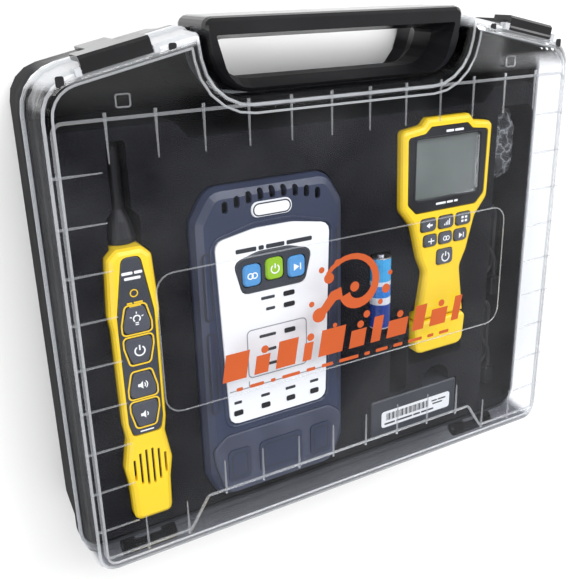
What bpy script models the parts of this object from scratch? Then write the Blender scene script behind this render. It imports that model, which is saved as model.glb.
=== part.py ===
"""Tone probe kit: a carry case with a clear lid, a foam tray and the instruments in it.

The case lies on its back.  X runs across the case, Y runs from the hinge to the handle
and Z runs up, out through the clear lid.  All numbers are millimetres until a mesh is
made, and MM turns them into metres.  The origin is under the middle of the footprint.
"""
import math

import bmesh
import bpy
from mathutils import Matrix, Vector

MM = 0.001
GAP = 0.4

# Case, outer sizes
HALF_WIDTH = 170.0
HINGE_SIDE = -143.5
SHOULDER_LOW = 135.0
SHOULDER_HIGH = 154.0
RECESS_HALF = 84.0
RECESS_FLOOR = 118.0
PARTING = 50.0
LID_TOP = 79.6
WALL = 2.3
FOOT_REACH = 157.5

# Hinge
HINGE_Y = -149.5
HINGE_R = 5.5
PIN_R = 1.5
HINGE_X = 129.0
LID_KNUCKLE = 19.0
BASE_KNUCKLE = 7.0

# Handle
HANDLE_TOP = 157.5
HANDLE_BACK = 34.0
HANDLE_FRONT = 74.0
GRIP_THICK = 12.0

# Latches
LATCH_X = 129.5
LATCH_LENGTH = 35.0
LATCH_THICK = 2.8
LATCH_BAR_Z = 66.0
LATCH_TONGUE = 16.0
LATCH_FOOT_Z = 39.0
LATCH_GAP = 0.6
LATCH_PIVOT_OUT = -3.4
LATCH_PIVOT_Z = LID_TOP + 0.1
LATCH_KNUCKLE_R = 1.7
LATCH_PIN_R = 0.75

# Foam tray
FOAM_TOP = 56.0
FOAM_FLOOR = 2.9
POCKET_ROOM = 0.8

# Instruments: middle of each, bottom, split between the shells, and top
PROBE_X = -127.0
PROBE_Z = (31.0, 46.0, 63.0)
TESTER_X = -42.5
TESTER_Z = (10.0, 34.0, 64.0)
CABLE_X = 86.5
CABLE_Z = (27.0, 43.0, 61.0)
SHELL = 2.0


# ------------------------------------------------------------------ helpers

def clear_scene():
    for item in list(bpy.data.objects):
        bpy.data.objects.remove(item, do_unlink=True)
    for group in list(bpy.data.collections):
        bpy.data.collections.remove(group)


def new_collection(name):
    group = bpy.data.collections.new(name)
    bpy.context.scene.collection.children.link(group)
    return group


def material(name, colour, roughness, metallic=0.0, alpha=1.0):
    made = bpy.data.materials.new(name)
    made.use_nodes = True
    shader = made.node_tree.nodes["Principled BSDF"]
    shader.inputs["Base Color"].default_value = (*colour, 1.0)
    shader.inputs["Roughness"].default_value = roughness
    shader.inputs["Metallic"].default_value = metallic
    shader.inputs["Alpha"].default_value = alpha
    made.diffuse_color = (*colour, alpha)
    return made


def rounded(corners, inset=0.0, steps=4):
    """Closed outline through (x, y, radius) corners, anticlockwise, moved inwards by inset."""
    points = []
    count = len(corners)
    for i, (x, y, radius) in enumerate(corners):
        here = Vector((x, y))
        before = Vector(corners[i - 1][:2])
        after = Vector(corners[(i + 1) % count][:2])
        way_in = (here - before).normalized()
        way_out = (after - here).normalized()
        side_in = Vector((-way_in.y, way_in.x))
        side_out = Vector((-way_out.y, way_out.x))
        corner = here + (side_in + side_out) * inset / (1.0 + side_in.dot(side_out))
        turn = math.atan2(way_in.cross(way_out), way_in.dot(way_out))
        if radius <= 0.0:
            points.append(tuple(corner))
            continue
        bend = max(radius - math.copysign(inset, turn), 0.2)
        reach = bend * math.tan(abs(turn) / 2.0)
        start = corner - way_in * reach
        centre = start + side_in * math.copysign(bend, turn)
        for step in range(steps + 1):
            angle = turn * step / steps
            points.append(tuple(centre + Matrix.Rotation(angle, 2) @ (start - centre)))
    return points


def rectangle(x, y, width, height, radius=0.0):
    w = width / 2.0
    h = height / 2.0
    return [(x - w, y - h, radius), (x + w, y - h, radius), (x + w, y + h, radius), (x - w, y + h, radius)]


def mirrored(half):
    """Whole outline from its right half, listed from the bottom to the top, about X = 0."""
    return half + [(-x, y, r) for x, y, r in reversed(half)]


def moved(corners, dx, dy=0.0):
    return [(x + dx, y + dy, r) for x, y, r in corners]


def finish_object(name, bm, look, group, smooth=35.0):
    mesh = bpy.data.meshes.new(name)
    bm.to_mesh(mesh)
    bm.free()
    mesh.shade_smooth()
    mesh.set_sharp_from_angle(angle=math.radians(smooth))
    made = bpy.data.objects.new(name, mesh)
    group.objects.link(made)
    if look is None:
        made.display_type = 'WIRE'
        made.hide_render = True
    else:
        mesh.materials.append(look)
    return made


def loft(name, rings, look=None, group=None):
    """Closed solid through rings of (x, y, z) points, from the first ring to the last."""
    bm = bmesh.new()
    rows = [[bm.verts.new(Vector(point) * MM) for point in ring] for ring in rings]
    size = len(rows[0])
    for low, high in zip(rows, rows[1:]):
        for i in range(size):
            j = (i + 1) % size
            bm.faces.new((low[i], low[j], high[j], high[i]))
    bm.faces.new(list(reversed(rows[0])))
    bm.faces.new(rows[-1])
    return finish_object(name, bm, look, group or CUTTERS)


def slab(name, corners, layers, look=None, group=None, steps=4):
    """Solid of one outline, with (height, inset) layers from the bottom to the top."""
    rings = []
    for height, inset in layers:
        rings.append([(x, y, height) for x, y in rounded(corners, inset, steps)])
    return loft(name, rings, look, group)


def block(name, low, high, look=None, group=None):
    bm = bmesh.new()
    bmesh.ops.create_cube(bm, size=1.0)
    low = Vector(low)
    high = Vector(high)
    bm.transform(Matrix.LocRotScale((low + high) / 2.0 * MM, None, (high - low) * MM))
    return finish_object(name, bm, look, group or CUTTERS)


def rod(name, start, end, radius, look=None, group=None, sides=20):
    start = Vector(start) * MM
    end = Vector(end) * MM
    turn = (end - start).to_track_quat('Z', 'Y').to_matrix().to_4x4()
    bm = bmesh.new()
    bmesh.ops.create_cone(bm, cap_ends=True, segments=sides, radius1=radius * MM,
                          radius2=radius * MM, depth=(end - start).length)
    bm.transform(Matrix.Translation((start + end) / 2.0) @ turn)
    return finish_object(name, bm, look, group or CUTTERS)


def turned(name, profile, base, look, group, steps=24):
    """Turned piece along Y from base: profile is (radius, distance along Y) from far to near."""
    bm = bmesh.new()
    row = [bm.verts.new((radius * MM, 0.0, along * MM)) for radius, along in profile]
    for first, second in zip(row, row[1:]):
        bm.edges.new((first, second))
    made = finish_object(name, bm, look, group)
    made.location = Vector(base) * MM
    made.rotation_euler = (-math.pi / 2.0, 0.0, 0.0)
    screw = made.modifiers.new("Turn", 'SCREW')
    screw.steps = steps
    screw.render_steps = steps
    screw.use_merge_vertices = True
    screw.merge_threshold = 0.00001
    return made


def boolean(target, tool, operation):
    step = target.modifiers.new(tool.name, 'BOOLEAN')
    step.operation = operation
    step.solver = 'EXACT'
    step.object = tool


def cut(target, *tools):
    for tool in tools:
        boolean(target, tool, 'DIFFERENCE')


def add(target, *tools):
    for tool in tools:
        boolean(target, tool, 'UNION')


def hinge_point(name, parent_point):
    """Empty on a joint's axis, which carries the pieces that turn about it."""
    marker = bpy.data.objects.new(name, None)
    marker.empty_display_size = 0.01
    marker.location = Vector(parent_point) * MM
    KIT.objects.link(marker)
    return marker


def carry(marker, *pieces):
    for piece in pieces:
        piece.parent = marker
        piece.matrix_parent_inverse = Matrix.Translation(-marker.location)


def put_origin(piece, point):
    """Moves a piece's own origin to a point on its joint's axis without moving its shape."""
    shift = Vector(point) * MM
    piece.data.transform(Matrix.Translation(-shift))
    piece.location = shift


# ------------------------------------------------------------------ case

def case_outline():
    """The case from above: straight sides, sloped shoulders and the recess for the hand."""
    half = [(HALF_WIDTH, HINGE_SIDE, 14.0),
            (HALF_WIDTH, SHOULDER_LOW, 24.0),
            (RECESS_HALF, SHOULDER_HIGH, 5.0),
            (RECESS_HALF - 5.0, RECESS_FLOOR, 24.0)]
    return mirrored(half)


def shoulder_frame(side):
    """Direction along a shoulder, direction out of it, and the latch's middle on it."""
    slope = math.atan2(SHOULDER_HIGH - SHOULDER_LOW, HALF_WIDTH - RECESS_HALF)
    along = Vector((math.cos(slope), -side * math.sin(slope), 0.0))
    out = Vector((side * math.sin(slope), math.cos(slope), 0.0))
    rise = (HALF_WIDTH - LATCH_X) * math.tan(slope)
    middle = Vector((side * LATCH_X, SHOULDER_LOW + rise, 0.0))
    return along, out, middle


def latch_pivot(side):
    along, out, middle = shoulder_frame(side)
    return along, middle + out * LATCH_PIVOT_OUT + Vector((0.0, 0.0, LATCH_PIVOT_Z))


def shoulder_block(name, side, along_span, out_span, z_span, look=None, group=None):
    """Box that lies square to a shoulder."""
    along, out, middle = shoulder_frame(side)
    ring = []
    for a, o in ((0, 0), (1, 0), (1, 1), (0, 1)):
        ring.append(middle + along * along_span[a] + out * out_span[o])
    rings = [[(p.x, p.y, z) for p in ring] for z in z_span]
    return loft(name, rings, look, group)


def hinge_knuckle(name, x_low, x_high, z_low, z_high):
    """Barrel round the hinge axis with the lug that ties it to its wall."""
    barrel = rod(name, (x_low, HINGE_Y, PARTING), (x_high, HINGE_Y, PARTING), HINGE_R)
    lug = block(name + "_lug", (x_low, HINGE_Y, z_low), (x_high, HINGE_SIDE + 1.2, z_high))
    add(barrel, lug)
    return barrel


def handle_ring(base):
    """The handle: a grip over a hand opening, standing up through the lid's recess."""
    foot = mirrored([(RECESS_HALF - 4.0, RECESS_FLOOR - 1.6, 24.0),
                     (RECESS_HALF + 1.4, SHOULDER_HIGH - 4.0, 3.0)])
    post = mirrored([(RECESS_HALF - 6.0, RECESS_FLOOR + 1.0, 23.0), (RECESS_HALF - 1.2, HANDLE_TOP, 5.0)])
    lower = slab("handle_foot", foot, [(HANDLE_BACK + 2.0, 0.0), (PARTING - 0.6, 0.0)])
    layers = [(HANDLE_BACK, 3.0), (HANDLE_BACK + 2.0, 0.8), (HANDLE_BACK + 5.0, 0.0),
              (HANDLE_FRONT - 4.0, 0.0), (HANDLE_FRONT - 1.5, 0.8), (HANDLE_FRONT, 2.4)]
    upper = slab("handle_post", post, layers)
    grip_under = HANDLE_TOP - GRIP_THICK
    opening = mirrored([(66.0, RECESS_FLOOR + 6.5, 18.0), (72.0, grip_under, 4.0)])
    hand = slab("hand_opening", opening,
                [(HANDLE_BACK - 3.0, -3.0), (HANDLE_BACK + 8.0, 0.0), (HANDLE_FRONT - 16.0, 0.0),
                 (HANDLE_FRONT + 1.0, -3.2)])
    add(base, lower, upper)
    cut(base, hand)


def make_base():
    outline = case_outline()
    base = slab("case_base", outline,
                [(0.0, 8.0), (1.5, 5.0), (4.0, 3.8), (43.0, 1.6), (44.0, 0.0), (PARTING, 0.0)],
                BLACK, KIT)
    inside = slab("base_hollow", outline, [(2.6, 6.4), (PARTING + 1.0, 3.0)])
    cut(base, inside)
    handle_ring(base)
    for side in (-1, 1):
        for end in (-1, 1):
            near = side * HINGE_X + end * (LID_KNUCKLE / 2.0 + GAP)
            far = near + end * BASE_KNUCKLE
            low, high = sorted((near, far))
            add(base, hinge_knuckle("base_knuckle_%+d_%+d" % (side, end), low, high,
                                    PARTING - HINGE_R, PARTING - 0.4))
        foot_x = side * 92.0
        foot = slab("standing_foot_%+d" % side, rectangle(foot_x, 0.0, 22.0, 12.0, 3.0),
                    [(0.0, 0.0), (17.0, 0.0), (18.0, 1.0)], steps=3)
        foot.data.transform(Matrix.Rotation(math.pi / 2.0, 4, 'X'))
        foot.data.transform(Matrix.Translation(Vector((0.0, -FOOT_REACH + 18.0, 12.0)) * MM))
        add(base, foot)
        reach = HINGE_X + LID_KNUCKLE / 2.0 + GAP + BASE_KNUCKLE + 1.0
        inner = HINGE_X - LID_KNUCKLE / 2.0 - GAP - BASE_KNUCKLE - 1.0
        cut(base, rod("hinge_bore_%+d" % side, (side * inner, HINGE_Y, PARTING),
                      (side * reach, HINGE_Y, PARTING), PIN_R + 0.3, sides=14))
    return base


def make_lid():
    outline = case_outline()
    lid = slab("lid", outline,
               [(PARTING + 0.4, 0.0), (PARTING + 6.0, 0.0), (PARTING + 7.0, 1.2), (LID_TOP - 5.0, 2.2),
                (LID_TOP - 1.6, 4.2), (LID_TOP - 0.3, 7.0), (LID_TOP, 9.0)], CLEAR, KIT)
    inside = slab("lid_hollow", outline,
                  [(PARTING - 1.0, 2.6), (PARTING + 7.0, 3.2), (LID_TOP - 5.5, 4.4),
                   (LID_TOP - 3.0, 6.4), (LID_TOP - WALL, 9.5)])
    cut(lid, inside)
    for side in (-1, 1):
        low = side * HINGE_X - LID_KNUCKLE / 2.0
        high = side * HINGE_X + LID_KNUCKLE / 2.0
        add(lid, hinge_knuckle("lid_knuckle_%+d" % side, low, high, PARTING + 0.6, PARTING + HINGE_R))
        cut(lid, rod("lid_bore_%+d" % side, (low - 1.0, HINGE_Y, PARTING), (high + 1.0, HINGE_Y, PARTING),
                     PIN_R + 0.3, sides=14))
        along, pivot = latch_pivot(side)
        for end in (-1, 1):
            near = LATCH_LENGTH / 2.0 + GAP
            span = sorted((end * near, end * (near + 3.0)))
            add(lid, shoulder_block("latch_ear_%+d_%+d" % (side, end), side, span,
                                    (LATCH_PIVOT_OUT - 2.0, LATCH_PIVOT_OUT + 2.0),
                                    (LID_TOP - 3.1, LATCH_PIVOT_Z + LATCH_KNUCKLE_R)))
        cut(lid, rod("latch_bore_%+d" % side, pivot - along * 22.0, pivot + along * 22.0,
                     LATCH_PIN_R + 0.25, sides=12))
    return lid


def make_pins():
    """Hinge pins, which stay with the base, and latch pins, which go with the lid."""
    pins = []
    reach = LID_KNUCKLE / 2.0 + GAP + BASE_KNUCKLE
    for side, label in ((-1, "left"), (1, "right")):
        rod("hinge_pin_" + label, (side * HINGE_X - reach, HINGE_Y, PARTING),
            (side * HINGE_X + reach, HINGE_Y, PARTING), PIN_R, STEEL, KIT, sides=14)
        along, pivot = latch_pivot(side)
        half = LATCH_LENGTH / 2.0 + GAP + 2.8
        pins.append(rod("latch_pin_" + label, pivot - along * half, pivot + along * half, LATCH_PIN_R,
                        STEEL, KIT, sides=12))
    return pins


def latch_profile():
    """Section of a latch's bar as (out, height): knuckle, lip over the lid's edge, front down its side."""
    inner = LATCH_GAP
    outer = inner + LATCH_THICK
    lip_top = LATCH_PIVOT_Z + 1.4
    points = []
    for step in range(7):
        angle = math.radians(60.0 + step * 40.0)
        points.append((LATCH_PIVOT_OUT + LATCH_KNUCKLE_R * math.cos(angle),
                       LATCH_PIVOT_Z + LATCH_KNUCKLE_R * math.sin(angle)))
    points += [(inner - 0.8, LATCH_PIVOT_Z - 0.9), (inner, LATCH_PIVOT_Z - 1.7), (inner, LATCH_BAR_Z),
               (outer, LATCH_BAR_Z), (outer, lip_top - 1.6), (outer - 1.4, lip_top)]
    return points


def make_latches():
    half = LATCH_LENGTH / 2.0
    latches = []
    for side, label in ((-1, "left"), (1, "right")):
        along, out, middle = shoulder_frame(side)
        pivot = latch_pivot(side)[1]
        rings = []
        for reach in (half, -half):
            spot = middle + along * reach
            rings.append([spot + out * o + Vector((0.0, 0.0, z)) for o, z in latch_profile()])
        latch = loft("latch_" + label, rings, BLACK, KIT)
        tongue = LATCH_TONGUE / 2.0
        add(latch, shoulder_block("latch_tongue_%+d" % side, side, (-tongue, tongue),
                                  (LATCH_GAP, LATCH_GAP + 2.0), (LATCH_FOOT_Z, LATCH_BAR_Z + 3.0)))
        reach = along * (half + 1.0)
        cut(latch, rod("latch_through_%+d" % side, pivot - reach, pivot + reach,
                       LATCH_PIN_R + 0.25, sides=12))
        marker = hinge_point("latch_axis_" + label, pivot)
        carry(marker, latch)
        latches.append(marker)
    return latches


# ------------------------------------------------------------------ instrument outlines

def probe_outline():
    half = [(11.5, -126.0, 4.0), (12.2, -103.0, 6.0), (14.2, -90.0, 8.0), (11.2, -71.0, 6.0),
            (12.5, -62.0, 6.0), (13.0, -3.0, 4.0), (14.2, 5.0, 6.0), (12.4, 38.0, 4.0), (7.0, 43.0, 4.0)]
    return moved(mirrored(half), PROBE_X)


def tester_outline():
    half = [(41.0, -131.0, 12.0), (49.0, -112.0, 10.0), (49.0, 50.0, 12.0), (38.0, 68.0, 12.0)]
    return moved(mirrored(half), TESTER_X)


def cable_outline():
    half = [(20.0, -46.0, 0.0), (15.0, -12.0, 10.0), (20.0, -1.0, 8.0), (26.0, 22.0, 8.0),
            (35.5, 34.0, 8.0), (36.5, 84.5, 4.0), (21.0, 86.5, 2.0), (17.0, 91.0, 2.0)]
    return moved(mirrored(half), CABLE_X)


def remote_outline():
    half = [(20.5, -71.0, 6.0), (22.5, -47.0, 4.0)]
    return moved(mirrored(half), CABLE_X)


def shells(front_name, rear_name, outline, heights, look, rear_look, edge):
    """Front and rear housing of an instrument, each open towards the other."""
    bottom, split, top = heights
    rear = slab(rear_name, outline,
                [(bottom, edge), (bottom + edge * 0.4, edge * 0.35), (bottom + edge, 0.0),
                 (split - 0.2, 0.0)], rear_look, KIT, steps=3)
    front = slab(front_name, outline,
                 [(split + 0.2, 0.0), (top - edge, 0.0), (top - edge * 0.4, edge * 0.35), (top, edge)],
                 look, KIT, steps=3)
    cut(rear, slab(rear_name + "_hollow", outline,
                   [(bottom + SHELL, SHELL + edge), (split + 1.0, SHELL)], steps=3))
    cut(front, slab(front_name + "_hollow", outline,
                    [(split - 1.0, SHELL), (top - SHELL, SHELL + edge)], steps=3))
    return front, rear


def key(name, corners, span, crown, look, steps=3):
    """Push button: a straight stem with a rounded top."""
    low, high = span
    layers = [(low, 0.0), (high - crown, 0.0), (high, crown * 0.8)]
    return slab(name, corners, layers, look, KIT, steps=steps)


def lift_marker(name, x, y, z):
    return hinge_point(name + "_lift", (x, y, z))


# ------------------------------------------------------------------ tone probe

def probe_key_outline(y, flipped):
    wide, narrow = 7.2, 4.6
    low, high = (narrow, wide) if flipped else (wide, narrow)
    half = [(low, y - 7.6, 2.4), (wide + 0.4, y + (2.4 if flipped else -2.4), 2.4), (high, y + 7.6, 2.4)]
    return moved(mirrored(half), PROBE_X)


def make_probe():
    bottom, split, top = PROBE_Z
    front, rear = shells("probe_front_shell", "probe_rear_shell", probe_outline(), PROBE_Z,
                         YELLOW, BLACK_SATIN, 3.0)
    panel_half = [(8.0, -68.0, 3.0), (9.8, -60.0, 4.0), (10.2, 6.0, 6.0), (5.0, 38.5, 4.0)]
    panel_corners = moved(mirrored(panel_half), PROBE_X)
    cut(front, slab("probe_window", panel_corners, [(top - 5.0, -0.4), (top + 1.0, -0.4)], steps=3))
    panel = slab("probe_key_panel", panel_corners, [(top - 2.4, 0.0), (top - 0.5, 0.0), (top - 0.1, 0.5)],
                 SLATE, KIT, steps=3)
    keys = []
    for name, y, flipped in (("light", 3.0, False), ("power", -15.5, True),
                             ("volume_up", -36.5, False), ("volume_down", -55.0, True)):
        corners = probe_key_outline(y, flipped)
        cut(panel, slab("probe_key_hole_" + name, corners, [(top - 4.0, -GAP), (top + 1.0, -GAP)], steps=3))
        keys.append(key("probe_key_" + name, corners, (top - 4.4, top + 0.9), 0.7, RUBBER_GREY))
        put_origin(keys[-1], (PROBE_X, y, top))
    for i in range(6):
        x = PROBE_X + (i - 2.5) * 3.7
        length = (14.0, 21.0, 24.0, 24.0, 21.0, 14.0)[i]
        cut(front, slab("probe_sound_slot_%d" % i, rectangle(x, -90.5, 1.5, length, 0.7),
                        [(top - 6.0, 0.0), (top + 1.0, 0.0)], steps=2))
    board = block("probe_circuit_board", (PROBE_X - 8.0, -63.0, top - 9.4),
                  (PROBE_X + 8.0, 34.0, top - 7.8), BOARD, KIT)
    speaker = rod("probe_speaker", (PROBE_X, -90.0, top - 9.0), (PROBE_X, -90.0, top - 4.2),
                  9.0, BLACK_SATIN, KIT)
    battery = slab("probe_battery", rectangle(PROBE_X, -30.0, 14.5, 46.0, 2.0), [(35.4, 0.0), (50.0, 0.0)],
                   CELL_BLUE, KIT, steps=2)
    door_corners = rectangle(PROBE_X, -30.0, 15.5, 52.0, 2.0)
    cut(rear, slab("probe_door_hole", door_corners, [(bottom - 1.0, -0.3), (bottom + 3.0, -0.3)], steps=2))
    door = slab("probe_battery_door", door_corners,
                [(bottom, 0.4), (bottom + 0.4, 0.0), (bottom + 1.9, 0.0)], BLACK_SATIN, KIT, steps=2)
    tip = turned("probe_tip", [(0.0, 54.0), (2.6, 53.2), (3.6, 50.5), (3.8, 18.0), (6.2, 12.0), (8.4, 3.0),
                               (8.4, 0.0), (0.0, 0.0)], (PROBE_X, 43.4, 47.0), BLACK_SATIN, KIT)
    marker = lift_marker("probe", PROBE_X, -40.0, bottom)
    carry(marker, front, rear, panel, board, speaker, battery, door, tip, *keys)
    return [probe_outline(), moved(mirrored([(8.4, 38.0, 0.0), (8.4, 58.0, 3.0), (4.4, 62.0, 3.0),
                                             (4.4, 98.0, 3.0)]), PROBE_X)]


# ------------------------------------------------------------------ network tester

def make_tester():
    bottom, split, top = TESTER_Z
    outline = tester_outline()
    front, rear = shells("tester_front_shell", "tester_rear_shell", outline, TESTER_Z,
                         SLATE_BLUE, SLATE_BLUE, 6.0)
    plate_half = [(33.5, -79.0, 6.0), (37.2, 38.0, 6.0), (12.0, 42.5, 30.0)]
    plate_corners = moved(mirrored(plate_half), TESTER_X)
    cut(front, slab("tester_plate_seat", plate_corners, [(top - 1.4, -0.4), (top + 1.0, -0.4)], steps=3))
    plate = slab("tester_face_plate", plate_corners, [(top - 1.1, 0.0), (top + 0.4, 0.0), (top + 0.8, 0.4)],
                 WHITE, KIT, steps=3)
    bezel_half = [(20.5, 4.0, 5.0), (25.5, 24.0, 5.0), (10.0, 28.5, 20.0)]
    bezel_corners = moved(mirrored(bezel_half), TESTER_X - 1.0)
    cut(plate, slab("tester_bezel_hole", bezel_corners, [(top - 3.0, -0.3), (top + 2.0, -0.3)], steps=3))
    bezel = slab("tester_key_bezel", bezel_corners, [(top - 1.1, 0.0), (top + 0.9, 0.0), (top + 1.4, 0.6)],
                 SLATE, KIT, steps=3)
    keys = []
    for name, dx, y, look in (("left", -14.6, 15.0, KEY_BLUE), ("power", 0.0, 16.5, KEY_GREEN),
                              ("right", 14.6, 15.0, KEY_BLUE)):
        corners = rectangle(TESTER_X - 1.0 + dx, y, 11.6, 13.4, 3.2)
        hole = slab("tester_key_hole_" + name, corners, [(top - 6.0, -GAP), (top + 3.0, -GAP)], steps=3)
        cut(bezel, hole)
        cut(front, hole)
        keys.append(key("tester_key_" + name, corners, (top - 4.6, top + 2.5), 1.2, look))
        put_origin(keys[-1], (TESTER_X - 1.0 + dx, y, top))
    badge_half = [(13.0, 48.4, 4.0), (13.0, 57.6, 4.0)]
    badge = slab("tester_badge", moved(mirrored(badge_half), TESTER_X - 1.0),
                 [(top + 0.3, 0.0), (top + 1.2, 0.4)], WHITE, KIT, steps=4)
    for i in range(9):
        spread = i - 4.0
        x = TESTER_X + spread * 7.4
        y = 61.8 - spread ** 2 * 0.3
        cut(front, slab("tester_vent_%d" % i, rectangle(x, y, 3.6, 7.0, 1.6),
                        [(top - 9.0, 0.0), (top + 1.0, 0.0)], steps=2))
    bumper_half = [(38.0, -127.0, 8.0), (44.0, -106.0, 6.0), (45.5, -93.0, 8.0), (36.0, -85.5, 8.0)]
    bumper_corners = moved(mirrored(bumper_half), TESTER_X)
    cut(front, slab("tester_bumper_seat", bumper_corners, [(top - 2.2, -0.4), (top + 1.0, -0.4)], steps=3))
    bumper = slab("tester_lower_bumper", bumper_corners,
                  [(top - 1.9, 0.0), (top + 0.3, 0.0), (top + 1.0, 0.9)], RUBBER_GREY, KIT, steps=3)
    board = block("tester_circuit_board", (TESTER_X - 38.0, -100.0, 50.5), (TESTER_X + 38.0, 50.0, 52.1),
                  BOARD, KIT)
    battery = slab("tester_battery_pack", rectangle(TESTER_X, -30.0, 58.0, 100.0, 3.0),
                   [(16.0, 0.0), (40.0, 0.0)], BLACK_SATIN, KIT, steps=2)
    marker = lift_marker("tester", TESTER_X, -27.0, bottom)
    carry(marker, front, rear, plate, bezel, badge, bumper, board, battery, *keys)
    return [outline]


# ------------------------------------------------------------------ cable tester

def make_cable_tester():
    bottom, split, top = CABLE_Z
    outline = cable_outline()
    front, rear = shells("cable_front_shell", "cable_rear_shell", outline, CABLE_Z,
                         YELLOW, BLACK_SATIN, 2.5)
    bezel_half = [(24.5, 31.0, 3.0), (31.0, 37.5, 4.0), (31.8, 80.0, 3.0), (19.0, 81.5, 2.0),
                  (14.5, 85.5, 2.0)]
    bezel_corners = moved(mirrored(bezel_half), CABLE_X)
    cut(front, slab("cable_bezel_hole", bezel_corners, [(top - 5.0, -0.4), (top + 1.0, -0.4)], steps=3))
    bezel = slab("cable_bezel", bezel_corners, [(top - 2.4, 0.0), (top - 0.3, 0.0), (top + 0.3, 0.6)],
                 BLACK_SATIN, KIT, steps=3)
    glass_corners = rectangle(CABLE_X, 59.0, 51.0, 39.0, 2.0)
    cut(bezel, slab("cable_glass_hole", glass_corners, [(top - 4.0, -0.3), (top + 2.0, -0.3)], steps=2))
    glass = slab("cable_screen_window", glass_corners, [(top - 1.6, 0.0), (top + 0.1, 0.0)],
                 GLASS, KIT, steps=2)
    display = block("cable_display", (CABLE_X - 27.0, 38.0, top - 6.4), (CABLE_X + 27.0, 79.0, top - 2.8),
                    LCD_GREY, KIT)
    keys = []
    spots = []
    for first, y, spacing, width, height in ((1, 22.0, 14.5, 12.2, 8.6), (4, 11.0, 12.6, 10.8, 8.0)):
        for col in range(3):
            spots.append(("key_%d" % (first + col), (col - 1) * spacing, y, width, height))
    spots.append(("key_power", 0.0, -2.0, 13.0, 10.5))
    for name, dx, y, width, height in spots:
        corners = rectangle(CABLE_X + dx, y, width, height, 2.6)
        cut(front, slab("cable_hole_" + name, corners, [(top - 6.0, -GAP), (top + 2.0, -GAP)], steps=3))
        keys.append(key("cable_" + name, corners, (top - 4.4, top + 1.5), 0.8, RUBBER_GREY))
        put_origin(keys[-1], (CABLE_X + dx, y, top))
    board = block("cable_circuit_board", (CABLE_X - 12.5, -2.0, 50.0), (CABLE_X + 12.5, 33.5, 51.6),
                  BOARD, KIT)
    battery = slab("cable_battery", rectangle(CABLE_X, 58.0, 46.0, 26.0, 3.0), [(31.0, 0.0), (47.5, 0.0)],
                   CELL_BLUE, KIT, steps=2)
    remote = slab("cable_remote", remote_outline(),
                  [(bottom + 3.0, 2.0), (bottom + 5.0, 0.4), (bottom + 8.0, 0.0), (top - 3.0, 0.0),
                   (top - 1.0, 0.6), (top - 0.2, 2.0)], YELLOW, KIT, steps=3)
    put_origin(remote, (CABLE_X, -59.0, 45.0))
    marker = lift_marker("cable_tester", CABLE_X, 10.0, bottom)
    carry(marker, front, rear, bezel, glass, display, board, battery, remote, *keys)
    remote_room = moved(mirrored([(22.5, -79.0, 4.0), (23.0, -40.0, 2.0)]), CABLE_X)
    return [outline, remote_room]


# ------------------------------------------------------------------ loose pieces and foam

CELL_X, CELL_LOW, CELL_LENGTH, CELL_R = 38.0, -43.3, 50.5, 7.2
BOX_CORNERS = rectangle(70.0, -115.0, 74.0, 28.0, 2.0)
BOX_Z = (30.0, 56.5)
SIDE_ROOM = (131.0, 161.5, -131.0, 92.0)
SIDE_FLOOR = 24.0
LEAD_THICK = 3.0
LEAD_PITCH = 3.2
LEAD_TURNS = 4
LEAD_HANK_WIDTH = 24.5


def make_loose_pieces():
    profile = [(0.0, CELL_LENGTH), (2.7, CELL_LENGTH), (2.7, CELL_LENGTH - 1.2), (6.6, CELL_LENGTH - 1.2),
               (CELL_R, CELL_LENGTH - 1.8), (CELL_R, 0.5), (CELL_R - 0.5, 0.0), (0.0, 0.0)]
    cell = turned("spare_cell", profile, (CELL_X, CELL_LOW, FOAM_TOP), CELL_BLUE, KIT, 20)
    box = slab("adapter_box", BOX_CORNERS, [(BOX_Z[0], 0.8), (BOX_Z[0] + 0.8, 0.0), (BOX_Z[1] - 0.8, 0.0),
                                            (BOX_Z[1], 0.8)], SLATE, KIT, steps=3)
    label = slab("adapter_label", rectangle(71.0, -116.5, 60.0, 12.5, 2.0),
                 [(BOX_Z[1] + 0.3, 0.0), (BOX_Z[1] + 0.6, 0.0)], WHITE, KIT, steps=3)
    carry(lift_marker("spare_cell", CELL_X, CELL_LOW, FOAM_TOP), cell)
    carry(lift_marker("adapter_box", 70.0, -115.0, BOX_Z[0]), box, label)


def make_side_contents():
    """Two test leads folded into hanks, and a bag of adapters, in the long pocket on the right."""
    middle = (SIDE_ROOM[0] + SIDE_ROOM[1]) / 2.0
    floor = SIDE_FLOOR + 1.0
    top = floor + LEAD_TURNS * LEAD_PITCH + 0.8
    for label, low, high in (("upper", -38.0, 19.0), ("lower", -113.0, -56.0)):
        outline = rectangle(middle, (low + high) / 2.0, LEAD_HANK_WIDTH, high - low, 4.0)
        slab("lead_hank_" + label, outline,
             [(floor, 0.8), (floor + 0.8, 0.0), (top - 0.8, 0.0), (top, 0.8)], LEAD_BLACK, KIT, steps=3)
        side = (LEAD_HANK_WIDTH - LEAD_THICK) / 2.0 - 1.0
        for end, x, y, height in (("plug", middle - side, high + 7.4, 9.0),
                                  ("clip", middle + side, low - 7.4, 14.4)):
            slab("lead_%s_%s" % (end, label), rectangle(x, y, 8.6, 14.0, 1.5),
                 [(floor, 0.4), (floor + 0.4, 0.0), (floor + height - 0.8, 0.0), (floor + height, 0.8)],
                 BLACK_SATIN, KIT, steps=2)
    bag = rectangle(middle, 63.5, 27.0, 53.0, 8.0)
    slab("adapter_bag", bag, [(floor, 4.0), (floor + 3.0, 0.0), (40.0, 0.0), (46.0, 4.0), (48.0, 8.0)],
         BAG, KIT, steps=4)


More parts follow.
